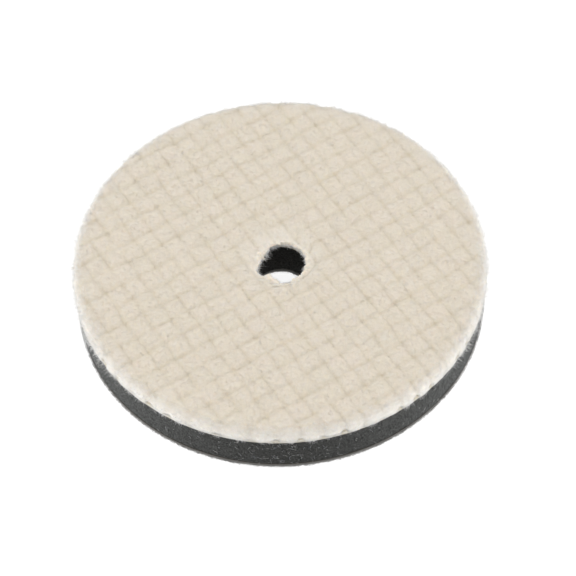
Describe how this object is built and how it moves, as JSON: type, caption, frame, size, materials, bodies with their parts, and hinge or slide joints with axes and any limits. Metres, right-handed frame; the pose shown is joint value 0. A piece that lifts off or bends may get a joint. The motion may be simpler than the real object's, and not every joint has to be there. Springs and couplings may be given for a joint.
{
  "type": "polishing pad",
  "caption": "Round wool-faced polishing pad: cut wool pile on a foam body with a hook-and-loop back and a centring hole.",
  "frame": {"origin": "centre of the centring hole at the loop face, the face that lies on a table or grips the backing plate", "axes": "+Z through the pad's thickness, from the loop back to the wool face; the pad is round, so +X and +Y are free"},
  "size_m": [0.15, 0.15, 0.0234],
  "materials": {
    "loop_nap": "brushed polyester loops, charcoal",
    "loop_cloth": "warp-knitted polyester, brown-grey at the cut edge",
    "back_glue": "hot-melt film, amber-brown",
    "foam": "open-cell polyurethane foam, charcoal, matt",
    "face_glue": "hot-melt film, milky",
    "pile_cloth": "knitted polyester, off-white",
    "wool": "sheared wool pile, cream"
  },
  "bodies": {
    "root": {"loop_nap": "loop_nap", "loop_ground_cloth": "loop_cloth", "back_glue_film": "back_glue", "foam_body": "foam", "face_glue_film": "face_glue", "pile_ground_cloth": "pile_cloth", "wool_pile": "wool"}
  },
  "joints": []
}
